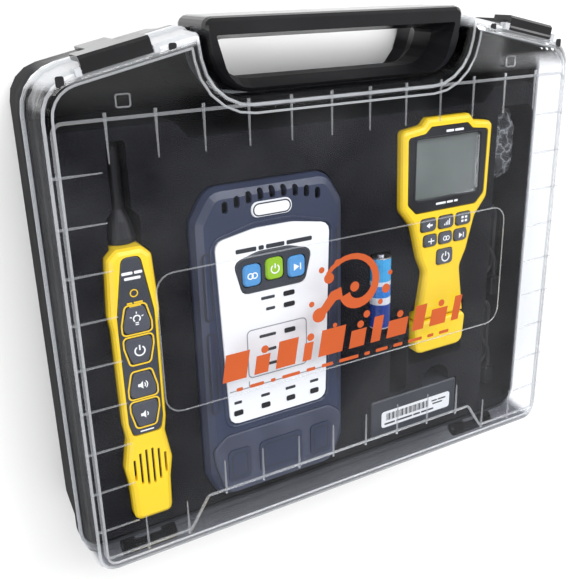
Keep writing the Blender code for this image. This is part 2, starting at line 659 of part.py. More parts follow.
def make_foam(pockets):
    half_low = -136.3
    corners = [(-163.0, half_low, 8.0), (163.0, half_low, 8.0), (163.0, 106.0, 6.0), (126.0, 106.0, 4.0),
               (118.0, 96.0, 4.0), (-86.0, 96.0, 4.0), (-95.0, 106.0, 4.0), (-163.0, 106.0, 6.0)]
    foam = slab("foam_tray", corners, [(FOAM_FLOOR, 0.8), (FOAM_TOP - 0.8, 0.0), (FOAM_TOP, 0.5)],
                FOAM, KIT, steps=3)
    for i, (outline, floor) in enumerate(pockets):
        cut(foam, slab("pocket_%d" % i, outline, [(floor - POCKET_ROOM * 0.6, -POCKET_ROOM),
                                                  (FOAM_TOP + 2.0, -POCKET_ROOM)], steps=3))
    x_low, x_high, y_low, y_high = SIDE_ROOM
    side = rectangle((x_low + x_high) / 2.0, (y_low + y_high) / 2.0, x_high - x_low, y_high - y_low, 6.0)
    cut(foam, slab("pocket_side", side, [(SIDE_FLOOR, 0.0), (FOAM_TOP + 2.0, 0.0)], steps=3))
    cut(foam, slab("pocket_cell", rectangle(CELL_X, CELL_LOW + CELL_LENGTH / 2.0, 16.0, 52.5, 1.5),
                   [(FOAM_TOP - CELL_R - 0.6, 0.0), (FOAM_TOP + 2.0, 0.0)], steps=2))
    cut(foam, slab("finger_slot", rectangle(55.0, -80.0, 14.0, 36.0, 3.0),
                   [(34.0, 0.0), (FOAM_TOP + 2.0, 0.0)], steps=3))
    cut(foam, rod("finger_notch", (88.0, -98.0, 34.0), (88.0, -98.0, FOAM_TOP + 2.0), 12.0, sides=24))
    return foam


# ------------------------------------------------------------------ build

clear_scene()
KIT = new_collection("tone_probe_kit")
CUTTERS = new_collection("cutters")

BLACK = material("case_black", (0.012, 0.012, 0.014), 0.38)
BLACK_SATIN = material("black_plastic", (0.02, 0.02, 0.023), 0.45)
CLEAR = material("clear_lid", (0.82, 0.84, 0.88), 0.08, alpha=0.25)
STEEL = material("pin_steel", (0.55, 0.55, 0.56), 0.3, metallic=1.0)
FOAM = material("tray_foam", (0.035, 0.035, 0.042), 0.95)
YELLOW = material("yellow_plastic", (0.85, 0.56, 0.03), 0.42)
SLATE = material("slate_panel", (0.075, 0.08, 0.1), 0.5)
SLATE_BLUE = material("slate_blue_plastic", (0.06, 0.075, 0.135), 0.48)
RUBBER_GREY = material("key_rubber", (0.1, 0.105, 0.125), 0.6)
WHITE = material("white_plastic", (0.82, 0.83, 0.85), 0.35)
KEY_BLUE = material("blue_key", (0.08, 0.25, 0.62), 0.4)
KEY_GREEN = material("green_key", (0.2, 0.6, 0.08), 0.4)
GLASS = material("screen_glass", (0.3, 0.33, 0.32), 0.1, alpha=0.4)
LCD_GREY = material("lcd_grey", (0.22, 0.25, 0.23), 0.4)
BOARD = material("circuit_board", (0.02, 0.18, 0.06), 0.45)
CELL_BLUE = material("cell_sleeve", (0.1, 0.2, 0.5), 0.35)
LEAD_BLACK = material("lead_black", (0.015, 0.015, 0.017), 0.5)
BAG = material("bag_film", (0.6, 0.62, 0.65), 0.25, alpha=0.5)

make_base()
carry(hinge_point("lid_hinge_axis", (0.0, HINGE_Y, PARTING)), make_lid(), *make_pins(), *make_latches())
probe_pockets = make_probe()
tester_pockets = make_tester()
cable_pockets = make_cable_tester()
make_loose_pieces()
make_side_contents()
make_foam([(outline, PROBE_Z[0]) for outline in probe_pockets]
          + [(outline, TESTER_Z[0]) for outline in tester_pockets]
          + [(outline, CABLE_Z[0]) for outline in cable_pockets]
          + [(BOX_CORNERS, BOX_Z[0])])
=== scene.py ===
"""Looks for the tone probe kit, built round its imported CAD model.

Sizes are in millimetres, and MM turns them into Blender's metres.
"""

import math

import bmesh
import bpy
from mathutils import Matrix, Vector, noise


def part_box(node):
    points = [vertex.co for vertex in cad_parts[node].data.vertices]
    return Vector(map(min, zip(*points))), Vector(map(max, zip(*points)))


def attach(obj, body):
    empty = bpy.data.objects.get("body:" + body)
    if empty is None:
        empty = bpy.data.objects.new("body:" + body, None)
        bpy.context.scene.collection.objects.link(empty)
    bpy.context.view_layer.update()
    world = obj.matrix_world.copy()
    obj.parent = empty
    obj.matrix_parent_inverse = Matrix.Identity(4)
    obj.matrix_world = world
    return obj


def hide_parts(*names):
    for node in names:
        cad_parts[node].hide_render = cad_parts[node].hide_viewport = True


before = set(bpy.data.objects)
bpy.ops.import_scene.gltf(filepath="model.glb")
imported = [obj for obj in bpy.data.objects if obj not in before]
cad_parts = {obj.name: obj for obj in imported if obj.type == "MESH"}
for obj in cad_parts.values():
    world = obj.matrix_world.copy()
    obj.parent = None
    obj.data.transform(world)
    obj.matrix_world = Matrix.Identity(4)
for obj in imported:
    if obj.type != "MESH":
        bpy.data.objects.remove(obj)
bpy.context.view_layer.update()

MM = 0.001
PRINT_LIFT = 0.03
PRINT_THICK = 0.07

# Outline of the case and lid, seen from above
HALF_WIDTH = 170.0
HINGE_SIDE = -143.5
SHOULDER_LOW = 135.0
SHOULDER_HIGH = 154.0
RECESS_HALF = 84.0
RECESS_FLOOR = 118.0
SHOULDER_SLOPE = (SHOULDER_HIGH - SHOULDER_LOW) / (HALF_WIDTH - RECESS_HALF)
SHOULDER_EDGE = SHOULDER_LOW + HALF_WIDTH * SHOULDER_SLOPE

# Where a finish, a painted shade or a painted highlight changes, as heights along Y from the first value to
# the second
CASE_POLISH = (134.0, 150.0)
LID_POLISH = (118.0, 128.0)
# painted shade: the lid is seen through darker along its hinge side
LID_HINGE_SHADE_BAND = (-140.5, -136.5)
# painted highlight: the clear plastic is whitened in a band along the shoulders' rim
PAINTED_RIM_HIGHLIGHT_BAND = (SHOULDER_EDGE - 8.5, SHOULDER_EDGE - 5.0)


# ------------------------------------------------------------------ places from the frame

def low_high(node):
    """Lowest and highest corner of a CAD node, in millimetres."""
    low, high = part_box(node)
    return Vector(low) / MM, Vector(high) / MM


def middle_top(node):
    """Middle of a CAD node seen from above, and the height of its top."""
    low, high = low_high(node)
    return (low.x + high.x) / 2.0, (low.y + high.y) / 2.0, high.z


# ------------------------------------------------------------------ materials

class Nodes:
    """Short ways to add and join shader nodes."""

    def __init__(self, name):
        self.material = bpy.data.materials.new(name)
        self.material.use_nodes = True
        self.tree = self.material.node_tree
        self.shader = self.tree.nodes["Principled BSDF"]
        self.output = self.tree.nodes["Material Output"]
        self.place = self.add("ShaderNodeTexCoord").outputs["Object"]

    def add(self, kind, **values):
        node = self.tree.nodes.new(kind)
        for key, value in values.items():
            if hasattr(node, key):
                setattr(node, key, value)
            else:
                node.inputs["IOR" if key == "ior" else key.title()].default_value = value
        return node

    def join(self, source, target):
        self.tree.links.new(source, target)

    def noise(self, scale, detail=3.0, roughness=0.55, place=None):
        node = self.add("ShaderNodeTexNoise", scale=scale, detail=detail, roughness=roughness)
        self.join(place or self.place, node.inputs["Vector"])
        return node.outputs["Fac"]

    def spread(self, source, low, high, from_low=0.3, from_high=0.7):
        node = self.add("ShaderNodeMapRange")
        self.join(source, node.inputs["Value"])
        node.inputs["From Min"].default_value = from_low
        node.inputs["From Max"].default_value = from_high
        node.inputs["To Min"].default_value = low
        node.inputs["To Max"].default_value = high
        return node.outputs["Result"]

    def across(self, source, low, high, band):
        """Change from low to high over a band of places given in millimetres."""
        return self.spread(source, low, high, band[0] * MM, band[1] * MM)

    def axis(self):
        node = self.add("ShaderNodeSeparateXYZ")
        self.join(self.place, node.inputs["Vector"])
        return node.outputs

    def sums(self, operation, first, second, clamp=False):
        """Math on a socket and on a socket or a number."""
        node = self.add("ShaderNodeMath", operation=operation, use_clamp=clamp)
        self.join(first, node.inputs[0])
        if isinstance(second, float):
            node.inputs[1].default_value = second
        else:
            self.join(second, node.inputs[1])
        return node.outputs[0]

    def mix(self, factor, first, second):
        node = self.add("ShaderNodeMix", data_type='RGBA')
        self.join(factor, node.inputs["Factor"])
        for socket, value in ((node.inputs[6], first), (node.inputs[7], second)):
            if isinstance(value, tuple):
                socket.default_value = (*value, 1.0)
            else:
                self.join(value, socket)
        return node.outputs[2]

    def bump(self, source, strength, distance, onto=None):
        node = self.add("ShaderNodeBump", strength=strength, distance=distance)
        self.join(source, node.inputs["Height"])
        if onto is not None:
            self.join(onto, node.inputs["Normal"])
        return node.outputs["Normal"]


def shade(colour, factor):
    return tuple(min(1.0, channel * factor) for channel in colour)


def plastic(name, colour, roughness, grain=1500.0, grain_height=0.12, uneven=0.14, level=0.5, coat=0.0):
    """Moulded plastic: fine grain, uneven colour from handling, and faint scuffs in its gloss."""
    n = Nodes(name)
    cloud = n.noise(24.0, 4.0)
    speck = n.noise(420.0, 3.0)
    base = n.mix(n.spread(cloud, 0.0, 1.0), shade(colour, 1.0 - uneven), shade(colour, 1.0 + uneven))
    n.join(n.mix(n.spread(speck, 0.0, 0.35, 0.52, 0.75), base, shade(colour, 1.0 + 2.0 * uneven)),
           n.shader.inputs["Base Color"])
    n.join(n.spread(n.noise(60.0, 5.0), roughness - 0.06, roughness + 0.08), n.shader.inputs["Roughness"])
    n.join(n.bump(n.noise(grain, 2.0), grain_height, 0.0002), n.shader.inputs["Normal"])
    n.shader.inputs["Specular IOR Level"].default_value = level
    n.shader.inputs["Coat Weight"].default_value = coat
    n.shader.inputs["Coat Roughness"].default_value = 0.12
    return n.material


def case_look():
    """Black moulded case: nearly matt walls, and polished shoulders and handle."""
    n = Nodes("case_black_moulding")
    y = n.axis()["Y"]
    n.join(n.mix(n.spread(n.noise(24.0, 4.0), 0.0, 1.0), (0.005, 0.005, 0.006), (0.011, 0.011, 0.013)),
           n.shader.inputs["Base Color"])
    n.join(n.sums('ADD', n.across(y, 0.5, 0.1, CASE_POLISH), n.spread(n.noise(60.0, 5.0), -0.03, 0.04)),
           n.shader.inputs["Roughness"])
    n.join(n.across(y, 0.02, 0.5, CASE_POLISH), n.shader.inputs["Specular IOR Level"])
    n.join(n.bump(n.noise(1100.0, 2.0), 0.04, 0.0002), n.shader.inputs["Normal"])
    return n.material


def rubber(name, colour):
    """Soft key or bumper rubber, matt with a fine stipple and a pale bloom."""
    n = Nodes(name)
    bloom = n.noise(45.0, 5.0)
    n.join(n.mix(n.spread(bloom, 0.0, 1.0), shade(colour, 0.85), shade(colour, 1.3)),
           n.shader.inputs["Base Color"])
    n.join(n.spread(bloom, 0.5, 0.68), n.shader.inputs["Roughness"])
    n.join(n.bump(n.noise(1900.0, 1.0), 0.3, 0.0002), n.shader.inputs["Normal"])
    n.shader.inputs["Sheen Weight"].default_value = 0.08
    return n.material


def metal(name, colour, roughness):
    """Drawn steel with fine lines along it."""
    n = Nodes(name)
    lines = n.noise(700.0, 4.0)
    n.join(n.mix(n.spread(lines, 0.0, 1.0), shade(colour, 0.8), shade(colour, 1.1)),
           n.shader.inputs["Base Color"])
    n.join(n.spread(lines, roughness - 0.08, roughness + 0.12), n.shader.inputs["Roughness"])
    n.shader.inputs["Metallic"].default_value = 1.0
    return n.material


def foam_look():
    """Open-cell foam: round cells and a nap of fine dust."""
    n = Nodes("foam_cells")
    cells = n.add("ShaderNodeTexVoronoi", scale=820.0)
    n.join(n.place, cells.inputs["Vector"])
    coarse = n.noise(150.0, 5.0)
    cloud = n.noise(9.0, 3.0)
    base = n.mix(n.spread(cloud, 0.0, 1.0), (0.005, 0.005, 0.007), (0.012, 0.012, 0.015))
    n.join(n.mix(n.spread(cells.outputs["Distance"], 0.5, 0.0, 0.1, 0.75), base, (0.026, 0.026, 0.031)),
           n.shader.inputs["Base Color"])
    first = n.bump(coarse, 0.5, 0.0008)
    n.join(n.bump(cells.outputs["Distance"], 0.7, 0.0006, first), n.shader.inputs["Normal"])
    n.shader.inputs["Roughness"].default_value = 0.95
    n.shader.inputs["Specular IOR Level"].default_value = 0.1
    return n.material


def clear_look(name, head_on, edge_on, tint, roughness, mirror_share, painted_rim_highlight=0.0):
    """Clear moulded plastic: nearly unseen head on, milkier edge on, and whitened by a painted highlight
    band along the shoulders' rim.
    """
    n = Nodes(name)
    axis = n.axis()
    facing = n.add("ShaderNodeLayerWeight", blend=0.42).outputs["Facing"]
    haze = n.spread(n.noise(16.0, 4.0), -0.006, 0.008)
    milk_and_painted_highlight = n.sums('ADD', n.spread(facing, head_on, edge_on, 0.3, 0.97), haze)
    half_width = n.add("ShaderNodeMath", operation='ABSOLUTE')
    n.join(axis["X"], half_width.inputs[0])
    outwards = n.sums('ADD', axis["Y"], n.sums('MULTIPLY', half_width.outputs[0], SHOULDER_SLOPE))
    # painted highlight: a band along the shoulders' rim is mixed towards milky white
    milk_and_painted_highlight = n.sums('ADD', milk_and_painted_highlight, n.across(outwards, 0.0, painted_rim_highlight, PAINTED_RIM_HIGHLIGHT_BAND), clamp=True)
    n.join(n.mix(n.spread(n.noise(30.0, 3.0), 0.0, 1.0), shade(tint, 0.94), tint),
           n.shader.inputs["Base Color"])
    n.join(n.spread(n.noise(85.0, 4.0), roughness, roughness + 0.06), n.shader.inputs["Roughness"])
    see = n.add("ShaderNodeBsdfTransparent")
    # painted shade: what shows through the lid is darkened along its hinge side
    n.join(n.mix(n.across(axis["Y"], 0.0, 1.0, LID_HINGE_SHADE_BAND), (0.3, 0.305, 0.33), (0.97, 0.975, 0.985)),
           see.inputs["Color"])
    gloss = n.add("ShaderNodeBsdfGlossy", roughness=roughness)
    mirror = n.add("ShaderNodeFresnel", ior=1.45)
    sheet = n.add("ShaderNodeMixShader")
    n.join(n.sums('MULTIPLY', mirror.outputs["Fac"], n.across(axis["Y"], mirror_share, 1.0, LID_POLISH)),
           sheet.inputs["Fac"])
    n.join(see.outputs["BSDF"], sheet.inputs[1])
    n.join(gloss.outputs["BSDF"], sheet.inputs[2])
    whole = n.add("ShaderNodeMixShader")
    n.join(milk_and_painted_highlight, whole.inputs["Fac"])
    n.join(sheet.outputs["Shader"], whole.inputs[1])
    n.join(n.shader.outputs["BSDF"], whole.inputs[2])
    n.join(whole.outputs["Shader"], n.output.inputs["Surface"])
    return n.material


def film_look():
    """Crumpled plastic film: creases painted lighter as highlights, on a hazy, half clear skin."""
    n = Nodes("crumpled_film")
    folds = n.add("ShaderNodeTexVoronoi", feature='DISTANCE_TO_EDGE', scale=95.0)
    warp = n.add("ShaderNodeTexNoise", scale=60.0, detail=4.0)
    n.join(n.place, warp.inputs["Vector"])
    bent = n.add("ShaderNodeVectorMath", operation='MULTIPLY_ADD')
    n.join(warp.outputs["Color"], bent.inputs[0])
    bent.inputs[1].default_value = (0.02, 0.02, 0.02)
    n.join(n.place, bent.inputs[2])
    n.join(bent.outputs["Vector"], folds.inputs["Vector"])
    # painted highlight: the creases are coloured lighter than the film between them
    crease_highlight = n.spread(folds.outputs["Distance"], 1.0, 0.0, 0.0, 0.16)
    n.join(n.mix(crease_highlight, (0.16, 0.165, 0.18), (0.5, 0.52, 0.55)), n.shader.inputs["Base Color"])
    n.join(n.spread(folds.outputs["Distance"], 0.5, 0.22, 0.0, 0.1), n.shader.inputs["Alpha"])
    n.join(n.bump(folds.outputs["Distance"], 1.0, 0.004), n.shader.inputs["Normal"])
    n.shader.inputs["Roughness"].default_value = 0.3
    n.shader.inputs["Specular IOR Level"].default_value = 0.3
    return n.material


def cell_look(node):
    """Printed battery sleeve: coloured bands along its length, and a bare metal button end."""
    low, high = low_high(node)
    n = Nodes(node + "_sleeve")
    along = n.across(n.axis()["Y"], 0.0, 1.0, (low.y, high.y))
    ramp = n.add("ShaderNodeValToRGB")
    ramp.color_ramp.interpolation = 'CONSTANT'
    bands = ((0.0, (0.5, 0.52, 0.56)), (0.02, (0.015, 0.05, 0.3)), (0.34, (0.72, 0.75, 0.82)),
             (0.44, (0.02, 0.2, 0.62)), (0.6, (0.7, 0.74, 0.82)), (0.66, (0.05, 0.38, 0.75)),
             (0.962, (0.6, 0.61, 0.64)))
    stops = ramp.color_ramp.elements
    for i, (at, colour) in enumerate(bands):
        stop = stops[i] if i < 2 else stops.new(at)
        stop.position = at
        stop.color = (*colour, 1.0)
    n.join(along, ramp.inputs["Fac"])
    n.join(n.mix(n.spread(n.noise(120.0, 3.0), 0.0, 0.18), ramp.outputs["Color"], (0.02, 0.03, 0.1)),
           n.shader.inputs["Base Color"])
    n.join(n.spread(along, 0.0, 1.0, 0.958, 0.964), n.shader.inputs["Metallic"])
    n.join(n.spread(n.noise(90.0, 3.0), 0.22, 0.34), n.shader.inputs["Roughness"])
    return n.material


def screen_look():
    """Switched-off liquid crystal: grey green with a faint dot grid and a soft fade."""
    n = Nodes("liquid_crystal")
    grid = n.add("ShaderNodeTexChecker", scale=1400.0)
    n.join(n.place, grid.inputs["Vector"])
    fade = n.noise(18.0, 2.0)
    base = n.mix(n.spread(fade, 0.0, 1.0), (0.2, 0.225, 0.205), (0.3, 0.33, 0.3))
    thin = n.spread(grid.outputs["Fac"], 0.0, 0.16, 0.0, 1.0)
    n.join(n.mix(thin, base, (0.15, 0.17, 0.155)), n.shader.inputs["Base Color"])
    n.shader.inputs["Roughness"].default_value = 0.4
    return n.material


def board_look():
    """Lacquered circuit board with copper tracks."""
    n = Nodes("board_lacquer")
    tracks = n.add("ShaderNodeTexBrick", scale=160.0)
    n.join(n.place, tracks.inputs["Vector"])
    n.join(n.mix(tracks.outputs["Fac"], (0.01, 0.14, 0.04), (0.05, 0.3, 0.1)), n.shader.inputs["Base Color"])
    n.shader.inputs["Roughness"].default_value = 0.3
    return n.material


# ------------------------------------------------------------------ shapes

def rounded(corners, inset=0.0, steps=5):
    """Closed outline through (x, y, radius) corners, anticlockwise, moved inwards by inset."""
    points = []
    count = len(corners)
    for i, (x, y, radius) in enumerate(corners):
        here = Vector((x, y))
        before = Vector(corners[i - 1][:2])
        after = Vector(corners[(i + 1) % count][:2])
        way_in = (here - before).normalized()
        way_out = (after - here).normalized()
        side_in = Vector((-way_in.y, way_in.x))
        side_out = Vector((-way_out.y, way_out.x))
        corner = here + (side_in + side_out) * inset / (1.0 + side_in.dot(side_out))
        turn = math.atan2(way_in.cross(way_out), way_in.dot(way_out))
        if radius <= 0.0:
            points.append(corner)
            continue
        bend = max(radius - math.copysign(inset, turn), 0.2)
        start = corner - way_in * bend * math.tan(abs(turn) / 2.0)
        centre = start + side_in * math.copysign(bend, turn)
        for step in range(steps + 1):
            points.append(centre + Matrix.Rotation(turn * step / steps, 2) @ (start - centre))
    return points


def box_outline(x, y, width, height, radius):
    w = width / 2.0
    h = height / 2.0
    return rounded([(x - w, y - h, radius), (x + w, y - h, radius), (x + w, y + h, radius),
                    (x - w, y + h, radius)])


def both_sides(half, middle=0.0):
    """Whole outline from its right half, listed from the bottom to the top, about a middle X."""
    return [(middle + x, y, r) for x, y, r in half] + [(middle - x, y, r) for x, y, r in reversed(half)]


def arc(x, y, radius, start=0.0, end=360.0, steps=24):
    points = []
    for step in range(steps + 1):
        angle = math.radians(start + (end - start) * step / steps)
        points.append(Vector((x + radius * math.cos(angle), y + radius * math.sin(angle))))
    return points


class Relief:
    """Flat marks and rounded beads on one level, gathered into one piece."""

    def __init__(self, z, thick=PRINT_THICK):
        self.bm = bmesh.new()
        self.low = z
        self.high = z + thick
        self.layer = 0.0

    def next_layer(self):
        """A hair more height for each mark, so that marks that cross don't share a plane."""
        self.layer = (self.layer + 0.0031) % 0.04
        return self.layer

    def area(self, points):
        """Filled outline with straight sides."""
        top = self.high + self.next_layer()
        lower = [self.bm.verts.new((p[0] * MM, p[1] * MM, self.low * MM)) for p in points]
        upper = [self.bm.verts.new((p[0] * MM, p[1] * MM, top * MM)) for p in points]
        count = len(points)
        for i in range(count):
            j = (i + 1) % count
            self.bm.faces.new((lower[i], lower[j], upper[j], upper[i]))
        self.bm.faces.new(upper)
        self.bm.faces.new(list(reversed(lower)))

    def line(self, points, width, closed=False, crown=0.0, taper=1.0):
        """Bar along a path.  crown rounds its top, and taper narrows its far end."""
        points = [Vector(p[:2]) for p in points]
        if closed and (points[0] - points[-1]).length < 1e-6:
            points.pop()
        count = len(points)
        half = width / 2.0
        top = self.high + self.next_layer()
        section = [(-half, self.low), (-half, top - crown), (-half * 0.45, top), (half * 0.45, top),
                   (half, top - crown), (half, self.low)]
        rings = []
        for i, point in enumerate(points):
            before = points[i - 1] if closed or i > 0 else None
            after = points[(i + 1) % count] if closed or i < count - 1 else None
            way_in = (point - before).normalized() if before is not None else (after - point).normalized()
            way_out = (after - point).normalized() if after is not None else way_in
            side_in = Vector((-way_in.y, way_in.x))
            side_out = Vector((-way_out.y, way_out.x))
            across = (side_in + side_out) / max(0.35, 1.0 + side_in.dot(side_out))
            thin = 1.0 if closed else 1.0 + (taper - 1.0) * i / max(1, count - 1)
            ring = []
            for o, z in section:
                spot = point - across * o * thin
                ring.append(self.bm.verts.new((spot.x * MM, spot.y * MM, z * MM)))
            rings.append(ring)
        pairs = list(zip(rings, rings[1:]))
        if closed:
            pairs.append((rings[-1], rings[0]))
        size = len(section)
        for first, second in pairs:
            for i in range(size):
                j = (i + 1) % size
                self.bm.faces.new((first[i], first[j], second[j], second[i]))
        if not closed:
            self.bm.faces.new(list(reversed(rings[0])))
            self.bm.faces.new(rings[-1])

    def dot(self, x, y, radius, sides=20):
        self.area(arc(x, y, radius, 0.0, 360.0 - 360.0 / sides, sides - 1))

    def words(self, x, y, lengths, height=1.3, gap=1.0, centred=True):
        """A row of plain bars standing in for a printed label."""
        whole = sum(lengths) + gap * (len(lengths) - 1)
        at = x - whole / 2.0 if centred else x
        for length in lengths:
            self.area(box_outline(at + length / 2.0, y, length, height, height * 0.3))
            at += length + gap

    def piece(self, name, look, body, smooth=40.0):
        bmesh.ops.recalc_face_normals(self.bm, faces=self.bm.faces)
        return make_piece(name, self.bm, look, body, smooth)


def make_piece(name, bm, look, body, smooth=40.0):
    mesh = bpy.data.meshes.new(name)
    bm.to_mesh(mesh)
    bm.free()
    mesh.shade_smooth()
    mesh.set_sharp_from_angle(angle=math.radians(smooth))
    mesh.materials.append(look)
    made = bpy.data.objects.new(name, mesh)
    bpy.context.scene.collection.objects.link(made)
    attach(made, body)
    return made


# ------------------------------------------------------------------ icons on the keys

def icon_power(r, x, y, size):
    r.line(arc(x, y, size, 125.0, 415.0, 20), size * 0.3)
    r.line([(x, y + size * 0.15), (x, y + size * 1.25)], size * 0.3)


def icon_lamp(r, x, y, size):
    r.line(arc(x, y + size * 0.25, size * 0.62, -50.0, 230.0, 18), size * 0.26)
    for drop in (0.55, 0.9):
        r.line([(x - size * 0.32, y - size * drop), (x + size * 0.32, y - size * drop)], size * 0.2)
    for angle in (20.0, 90.0, 160.0):
        ray = Vector((math.cos(math.radians(angle)), math.sin(math.radians(angle))))
        centre = Vector((x, y + size * 0.25))
        r.line([centre + ray * size * 0.95, centre + ray * size * 1.35], size * 0.2)


def icon_speaker(r, x, y, size, waves):
    cone = ((-1.0, -0.3), (-0.55, -0.3), (-0.05, -0.8), (-0.05, 0.8), (-0.55, 0.3), (-1.0, 0.3))
    r.area([(x + size * dx, y + size * dy) for dx, dy in cone])
    for i in range(waves):
        r.line(arc(x - size * 0.1, y, size * (0.5 + 0.42 * i), -48.0, 48.0, 10), size * 0.2)


def icon_arrow(r, x, y, size, angle):
    turn = Matrix.Rotation(math.radians(angle), 2)
    shape = ((1.0, 0.0), (-0.1, 0.8), (-0.1, 0.25), (-1.0, 0.25), (-1.0, -0.25), (-0.1, -0.25), (-0.1, -0.8))
    r.area([Vector((x, y)) + turn @ (Vector(p) * size) for p in shape])


def icon_rings(r, x, y, size):
    for side in (-1, 1):
        r.line(arc(x + side * size * 0.45, y, size * 0.55, 0.0, 360.0, 20), size * 0.24, closed=True)


def icon_next(r, x, y, size):
    r.area([(x - size * 0.75, y - size * 0.75), (x + size * 0.45, y), (x - size * 0.75, y + size * 0.75)])
    r.line([(x + size * 0.75, y - size * 0.7), (x + size * 0.75, y + size * 0.7)], size * 0.26)


def icon_grid(r, x, y, size):
    for dx in (-0.6, 0.6):
        for dy in (-0.5, 0.5):
            r.area(box_outline(x + dx * size, y + dy * size, size * 0.8, size * 0.62, size * 0.12))


def icon_bars(r, x, y, size):
    for i, tall in enumerate((0.5, 0.9, 1.3, 1.7)):
        left = x + (i - 1.5) * size * 0.52
        r.line([(left, y - size * 0.8), (left, y + size * (tall - 0.8))], size * 0.3)


def icon_cross(r, x, y, size):
    r.line([(x - size, y), (x + size, y)], size * 0.3)
    r.line([(x, y - size * 0.8), (x, y + size * 0.8)], size * 0.3)


def key_icons(key, draw, size, look, dy=0.0):
    """Prints one icon on top of one key, and lets it move with that key."""
    x, y, top = middle_top(key)
    marks = Relief(top + PRINT_LIFT)
    draw(marks, x, y + dy, size)
    marks.piece(key + "_icon", look, key)


# ------------------------------------------------------------------ looks for the CAD nodes

def dress(look, *nodes):
    for node in nodes:
        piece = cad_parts[node]
        piece.data.materials.clear()
        piece.data.materials.append(look)


CASE_BLACK = case_look()
LATCH_BLACK = plastic("latch_gloss", (0.006, 0.006, 0.007), 0.14, 900.0, 0.02, 0.2, 0.5)
SATIN_BLACK = plastic("satin_black", (0.014, 0.014, 0.017), 0.42, 1700.0, 0.2, 0.2, 0.3)
YELLOW = plastic("tool_yellow", (0.97, 0.65, 0.018), 0.36, 1400.0, 0.16, 0.06)
PANEL = plastic("slate_panel", (0.038, 0.042, 0.054), 0.4, 1700.0, 0.2, 0.12)
SLATE_BLUE = plastic("slate_blue", (0.03, 0.038, 0.074), 0.36, 1300.0, 0.22, 0.14)
WHITE = plastic("satin_white", (0.85, 0.86, 0.88), 0.32, 1900.0, 0.06, 0.03)
BLUE = plastic("key_blue", (0.09, 0.3, 0.62), 0.3, 1900.0, 0.06, 0.08)
GREEN = plastic("key_green", (0.29, 0.52, 0.025), 0.3, 1900.0, 0.06, 0.08)
RUBBER = rubber("key_rubber", (0.06, 0.064, 0.08))
BUMPER = rubber("bumper_rubber", (0.045, 0.052, 0.085))
LEAD_BLACK = rubber("lead_jacket", (0.022, 0.022, 0.026))
STEEL = metal("pin_steel", (0.6, 0.6, 0.62), 0.3)
FOAM = foam_look()
LID_CLEAR = clear_look("lid_clear", 0.003, 0.03, (0.88, 0.9, 0.93), 0.04, 0.05, 0.5)
# painted highlight: the lid's beads, ribs, lines and rims are milky white head on as well as edge on,
# standing in for the light lines they catch
LID_BEAD_HIGHLIGHT = clear_look("lid_bead_highlight", 0.1, 0.5, (0.92, 0.94, 0.97), 0.08, 0.45, 0.6)
LID_RIM_HIGHLIGHT = clear_look("lid_rim", 0.26, 0.6, (0.92, 0.94, 0.97), 0.08, 0.45, 0.6)
SCREEN_GLASS = clear_look("screen_glass", 0.01, 0.12, (0.5, 0.54, 0.52), 0.06, 0.4)
INK_WHITE = plastic("ink_white", (0.88, 0.89, 0.9), 0.5, 2000.0, 0.1, 0.05)
INK_DARK = plastic("ink_dark", (0.03, 0.032, 0.04), 0.5, 2000.0, 0.1, 0.1)
INK_GREY = plastic("ink_grey", (0.3, 0.31, 0.34), 0.5, 2000.0, 0.1, 0.1)
INK_YELLOW = plastic("ink_yellow", (0.9, 0.58, 0.02), 0.5, 2000.0, 0.1, 0.08)
INK_ORANGE = plastic("ink_orange", (0.5, 0.085, 0.014), 0.42, 2000.0, 0.1, 0.06)

dress(CASE_BLACK, "case_base")
dress(LATCH_BLACK, "latch_left", "latch_right")
dress(LID_CLEAR, "lid")
dress(FOAM, "foam_tray")
dress(STEEL, "hinge_pin_left", "hinge_pin_right", "latch_pin_left", "latch_pin_right")
dress(YELLOW, "probe_front_shell", "cable_front_shell", "cable_remote")
dress(SATIN_BLACK, "probe_rear_shell", "probe_speaker", "probe_battery_door", "probe_tip",
      "tester_battery_pack", "cable_rear_shell", "cable_bezel")
dress(PANEL, "probe_key_panel", "tester_key_bezel", "adapter_box")
dress(SLATE_BLUE, "tester_front_shell", "tester_rear_shell")
dress(RUBBER, "probe_key_light", "probe_key_power", "probe_key_volume_up", "probe_key_volume_down",
      "cable_key_power", *["cable_key_%d" % number for number in range(1, 7)])
dress(BUMPER, "tester_lower_bumper")
dress(WHITE, "tester_face_plate", "tester_badge", "adapter_label")
dress(BLUE, "tester_key_left", "tester_key_right")
dress(GREEN, "tester_key_power")
dress(SCREEN_GLASS, "cable_screen_window")
dress(screen_look(), "cable_display")
dress(board_look(), "probe_circuit_board", "tester_circuit_board", "cable_circuit_board")
for cell in ("spare_cell", "probe_battery", "cable_battery"):
    dress(cell_look(cell), cell)


# ------------------------------------------------------------------ camera, light and floor

def make_camera():
    place = Vector((-239.7, 175.5, 447.2)) * MM
    target = Vector((9.34, -14.84, 0.0)) * MM
    up = Vector((0.1873, 0.9371, -0.2946))
    forward = (target - place).normalized()
    right = forward.cross(up).normalized()
    data = bpy.data.cameras.new("camera")
    data.sensor_fit = 'HORIZONTAL'
    data.sensor_width = 36.0
    data.lens = 49.5
    data.shift_x = -0.0218
    data.shift_y = -0.0365
    data.clip_start = 0.01
    camera = bpy.data.objects.new("camera", data)
    turn = Matrix((right, right.cross(forward), -forward)).transposed().to_4x4()
    camera.matrix_world = Matrix.Translation(place) @ turn
    bpy.context.scene.collection.objects.link(camera)
    bpy.context.scene.camera = camera


def make_light(name, place, size, power):
    data = bpy.data.lights.new(name, 'AREA')
    data.shape = 'RECTANGLE'
    data.size = size[0]
    data.size_y = size[1]
    data.energy = power
    lamp = bpy.data.objects.new(name, data)
    lamp.location = place
    lamp.rotation_euler = (-Vector(place)).to_track_quat('-Z', 'Y').to_euler()
    bpy.context.scene.collection.objects.link(lamp)


